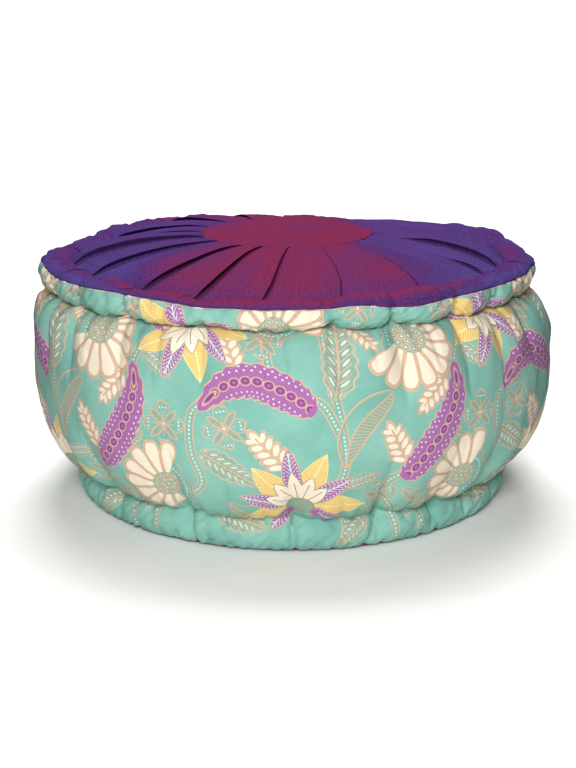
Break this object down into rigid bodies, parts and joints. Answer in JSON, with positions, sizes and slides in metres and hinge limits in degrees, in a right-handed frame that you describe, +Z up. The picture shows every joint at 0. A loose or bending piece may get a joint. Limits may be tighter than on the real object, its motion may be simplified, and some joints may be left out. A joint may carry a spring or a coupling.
{
  "type": "zafu meditation cushion",
  "caption": "Round stuffed floor cushion with a pleated top sewn round a plain disc, a printed side gathered into rolled edges, and a flat underside to rest on.",
  "frame": {"origin": "centre of the flat underside, on the floor", "axes": "+Z up out of the seat, -Y towards the side that the picture shows"},
  "size_m": [0.4002, 0.4, 0.2007],
  "materials": {
    "print_cotton": "printed plain-weave cotton, matt",
    "pleat_silk": "shot silk, violet and magenta threads, soft sheen",
    "disc_silk": "shot silk seen along its magenta threads, soft sheen",
    "base_silk": "shot silk, violet and magenta threads, soft sheen"
  },
  "bodies": {
    "root": {"printed_drum": "print_cotton", "pleated_top": "pleat_silk", "top_disc": "disc_silk", "base_panel": "base_silk"}
  },
  "joints": []
}
